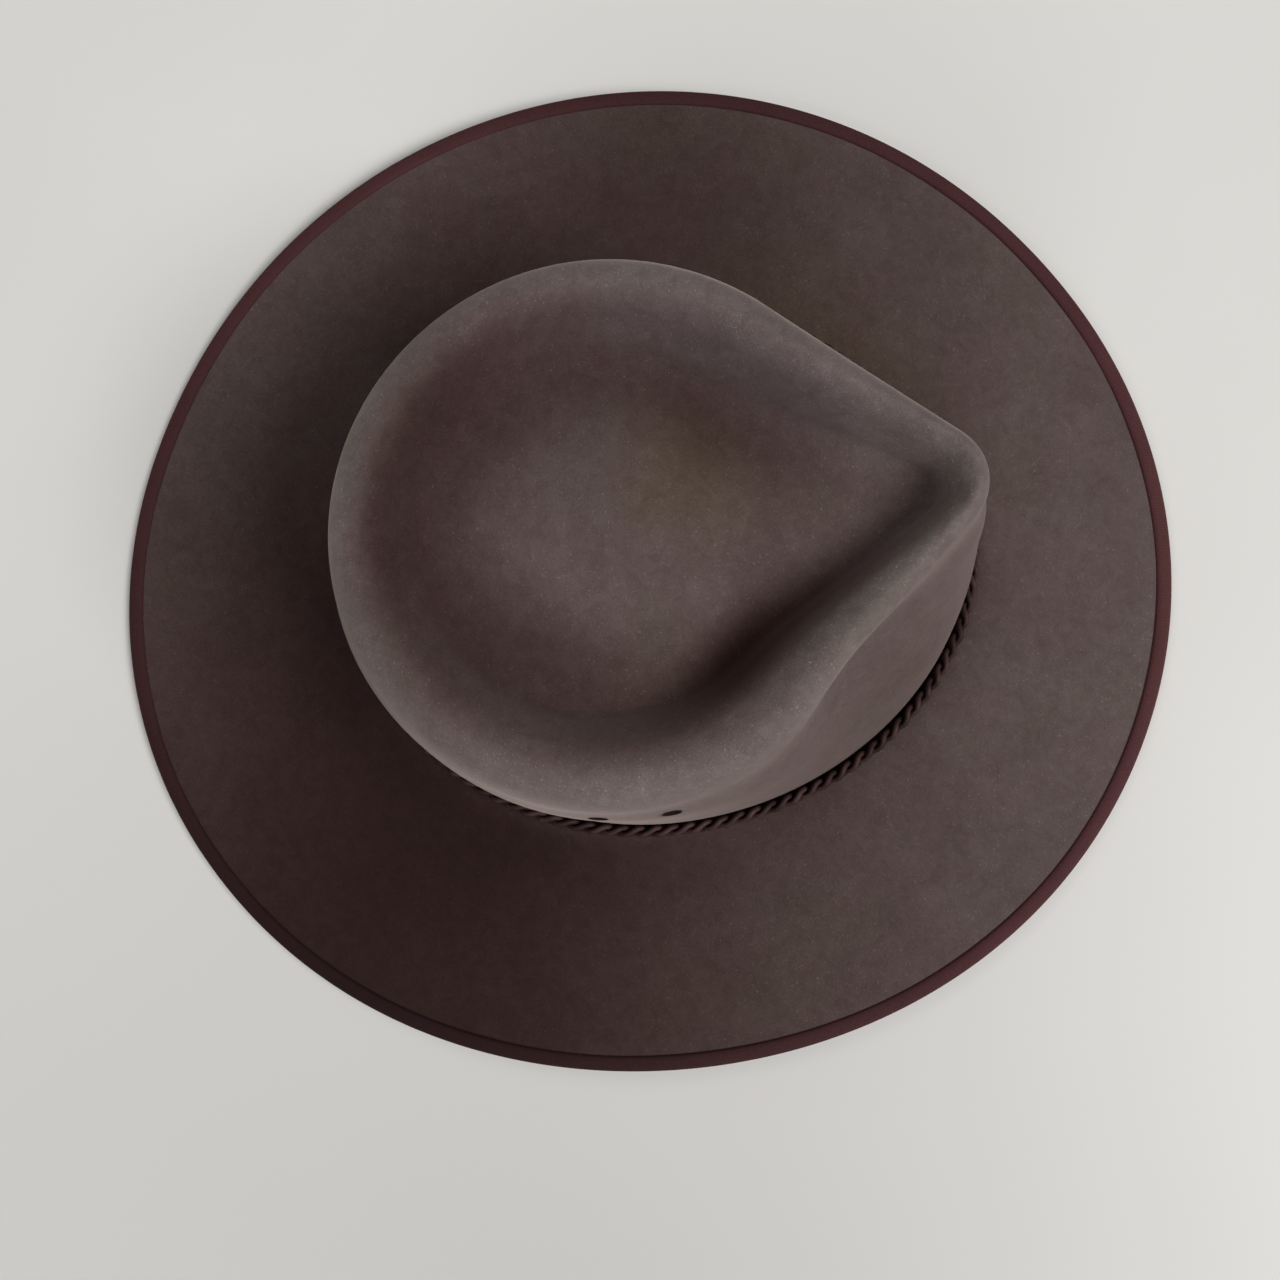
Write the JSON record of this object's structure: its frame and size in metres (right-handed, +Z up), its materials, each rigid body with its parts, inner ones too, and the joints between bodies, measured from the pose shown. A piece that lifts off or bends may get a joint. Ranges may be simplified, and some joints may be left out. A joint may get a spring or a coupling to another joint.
{
  "type": "wide-brim felt fedora",
  "caption": "Brown felt hat with a wide, nearly flat brim, a pinched teardrop crown, a ribbon-bound edge and a thin braided leather band; worn on the head for shade.",
  "frame": {"origin": "on the surface that the hat rests on, under the middle of its brim", "axes": "+Z up through the crown; the front of the hat, with the tip of its crease, faces -Y; the wearer's left is +X"},
  "size_m": [0.3392, 0.362, 0.1056],
  "materials": {
    "felt": "matt wool or fur felt with a short soft nap",
    "ribbon": "dark maroon ribbed ribbon, low sheen",
    "leather": "dark oxblood braided leather, satin"
  },
  "bodies": {
    "root": {"felt_body": "felt", "brim_binding": "ribbon", "hat_band": "leather"}
  },
  "joints": []
}
